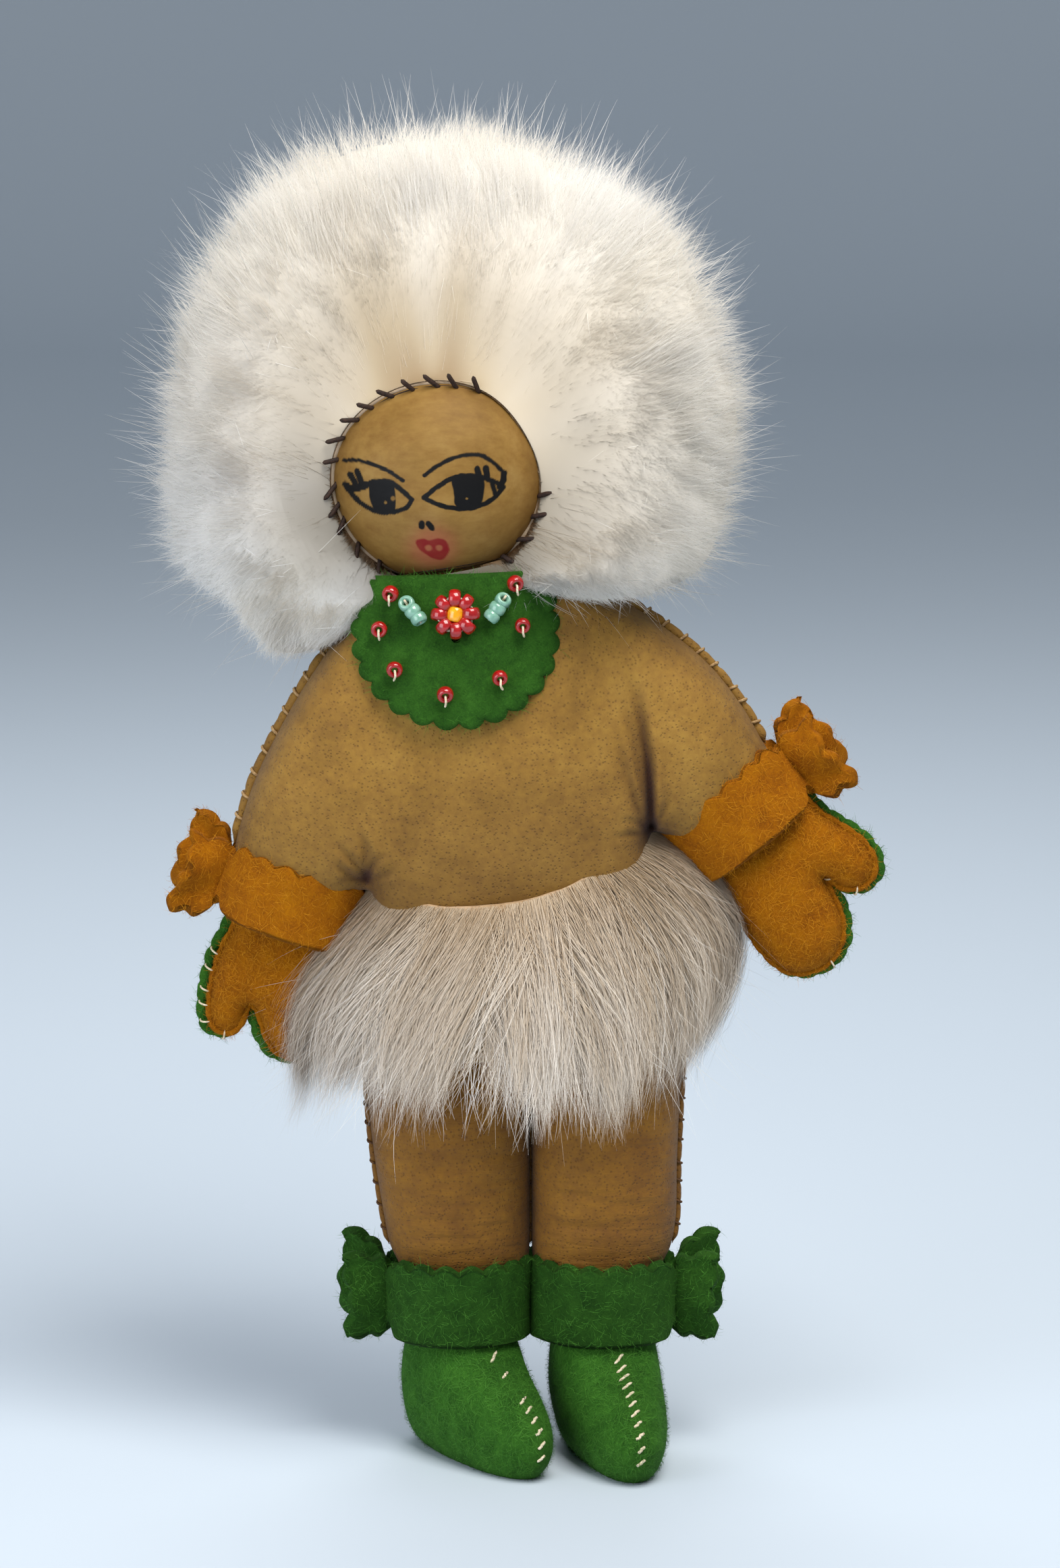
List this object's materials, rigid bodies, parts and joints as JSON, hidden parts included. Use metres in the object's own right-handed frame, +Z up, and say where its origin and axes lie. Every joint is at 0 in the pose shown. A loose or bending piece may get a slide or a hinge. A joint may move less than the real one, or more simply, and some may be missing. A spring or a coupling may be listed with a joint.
{
  "type": "fur doll",
  "caption": "Stuffed leather doll with an ink-drawn face, a white fur hood and skirt, a beaded felt bib, felt mittens and boots; limbs and head flex.",
  "frame": {"origin": "on the floor under the middle of the whole doll, at the level of the boot soles", "axes": "+Z up, the face and toes toward -Y, the doll's own left side toward +X"},
  "size_m": [0.1008, 0.0548, 0.1788],
  "materials": {
    "body_leather": "matt smoked hide with fine pores",
    "leg_leather": "matt smoked hide, darker, finely wrinkled",
    "white_fur": "long soft hair, cream at the roots",
    "green_felt": "wool felt",
    "gold_felt": "wool felt",
    "red_glass": "opaque glossy glass",
    "mint_glass": "opaque glossy glass",
    "amber_glass": "opaque glossy glass",
    "stuffing": "loose cotton fill"
  },
  "bodies": {
    "torso": {"torso_front": "body_leather", "torso_back": "body_leather", "torso_stuffing": "stuffing", "fur_skirt": "white_fur"},
    "neck": {"neck_stuffing": "stuffing"},
    "head": {"face": "body_leather", "head_stuffing": "stuffing", "fur_hood": "white_fur"},
    "bib": {"bib": "green_felt", "bib_bead_1": "red_glass", "bib_bead_2": "red_glass", "bib_bead_3": "red_glass", "bib_bead_4": "red_glass", "bib_bead_5": "red_glass", "bib_bead_6": "red_glass", "bib_bead_7": "red_glass", "petal_bead_1": "red_glass", "petal_bead_2": "red_glass", "petal_bead_3": "red_glass", "petal_bead_4": "red_glass", "petal_bead_5": "red_glass", "petal_bead_6": "red_glass", "petal_bead_7": "red_glass", "petal_bead_8": "red_glass", "flower_centre_bead": "amber_glass", "left_leaf_bead_1": "mint_glass", "left_leaf_bead_2": "mint_glass", "left_leaf_bead_3": "mint_glass", "right_leaf_bead_1": "mint_glass", "right_leaf_bead_2": "mint_glass", "right_leaf_bead_3": "mint_glass"},
    "left_arm": {"left_arm_front": "body_leather", "left_arm_back": "body_leather", "left_arm_stuffing": "stuffing"},
    "left_hand": {"left_mitten_front": "gold_felt", "left_mitten_back": "green_felt", "left_mitten_stuffing": "stuffing", "left_mitten_cuff": "gold_felt"},
    "left_leg": {"left_leg_front": "leg_leather", "left_leg_back": "leg_leather", "left_leg_stuffing": "stuffing"},
    "left_foot": {"left_boot_inner": "green_felt", "left_boot_outer": "green_felt", "left_boot_stuffing": "stuffing", "left_boot_cuff": "green_felt"},
    "right_arm": {"right_arm_front": "body_leather", "right_arm_back": "body_leather", "right_arm_stuffing": "stuffing"},
    "right_hand": {"right_mitten_front": "gold_felt", "right_mitten_back": "green_felt", "right_mitten_stuffing": "stuffing", "right_mitten_cuff": "gold_felt"},
    "right_leg": {"right_leg_front": "leg_leather", "right_leg_back": "leg_leather", "right_leg_stuffing": "stuffing"},
    "right_foot": {"right_boot_inner": "green_felt", "right_boot_outer": "green_felt", "right_boot_stuffing": "stuffing", "right_boot_cuff": "green_felt"}
  },
  "joints": [
    {"name": "neck_nod", "type": "hinge", "parent": "torso", "child": "neck", "pos_m": [-0.00677, -0.00323, 0.12013], "axis": [0.9848, 0, 0.1736], "range_deg": [-8, 6], "stiffness_Nm_per_rad": 0.2},
    {"name": "head_turn", "type": "hinge", "parent": "neck", "child": "head", "pos_m": [-0.00677, -0.00323, 0.12013], "axis": [-0.1736, 0, 0.9848], "range_deg": [-20, 20], "stiffness_Nm_per_rad": 0.1},
    {"name": "bib_lift", "type": "hinge", "parent": "torso", "child": "bib", "pos_m": [-0.00722, -0.01133, 0.12269], "axis": [-0.9848, 0, -0.1736], "range_deg": [0, 45], "stiffness_Nm_per_rad": 0.0004},
    {"name": "left_shoulder", "type": "hinge", "parent": "torso", "child": "left_arm", "pos_m": [0.01869, -0.00323, 0.08807], "axis": [0, 0, -1], "range_deg": [-20, 30], "stiffness_Nm_per_rad": 0.05},
    {"name": "right_shoulder", "type": "hinge", "parent": "torso", "child": "right_arm", "pos_m": [-0.01972, -0.00323, 0.0813], "axis": [-0.342, 0, 0.9397], "range_deg": [-20, 30], "stiffness_Nm_per_rad": 0.05},
    {"name": "left_wrist", "type": "hinge", "parent": "left_arm", "child": "left_hand", "pos_m": [0.0283, -0.00323, 0.09289], "axis": [-0.7771, 0, -0.6293], "range_deg": [-20, 20], "stiffness_Nm_per_rad": 0.01},
    {"name": "right_wrist", "type": "hinge", "parent": "right_arm", "child": "right_hand", "pos_m": [-0.0304, -0.00323, 0.08254], "axis": [-0.9455, 0, 0.3256], "range_deg": [-20, 20], "stiffness_Nm_per_rad": 0.01},
    {"name": "left_hip", "type": "hinge", "parent": "torso", "child": "left_leg", "pos_m": [0.01413, -0.00323, 0.064], "axis": [-1, 0, 0], "range_deg": [-20, 45], "stiffness_Nm_per_rad": 0.4, "deforming": ["fur_skirt"]},
    {"name": "right_hip", "type": "hinge", "parent": "torso", "child": "right_leg", "pos_m": [-0.00787, -0.00323, 0.064], "axis": [-1, 0, 0], "range_deg": [-20, 45], "stiffness_Nm_per_rad": 0.4, "deforming": ["fur_skirt"]},
    {"name": "left_ankle", "type": "hinge", "parent": "left_leg", "child": "left_foot", "pos_m": [0.01303, -0.00323, 0.027], "axis": [1, 0, 0], "range_deg": [-10, 10], "stiffness_Nm_per_rad": 0.12},
    {"name": "right_ankle", "type": "hinge", "parent": "right_leg", "child": "right_foot", "pos_m": [-0.00677, -0.00323, 0.027], "axis": [1, 0, 0], "range_deg": [-10, 10], "stiffness_Nm_per_rad": 0.12}
  ]
}
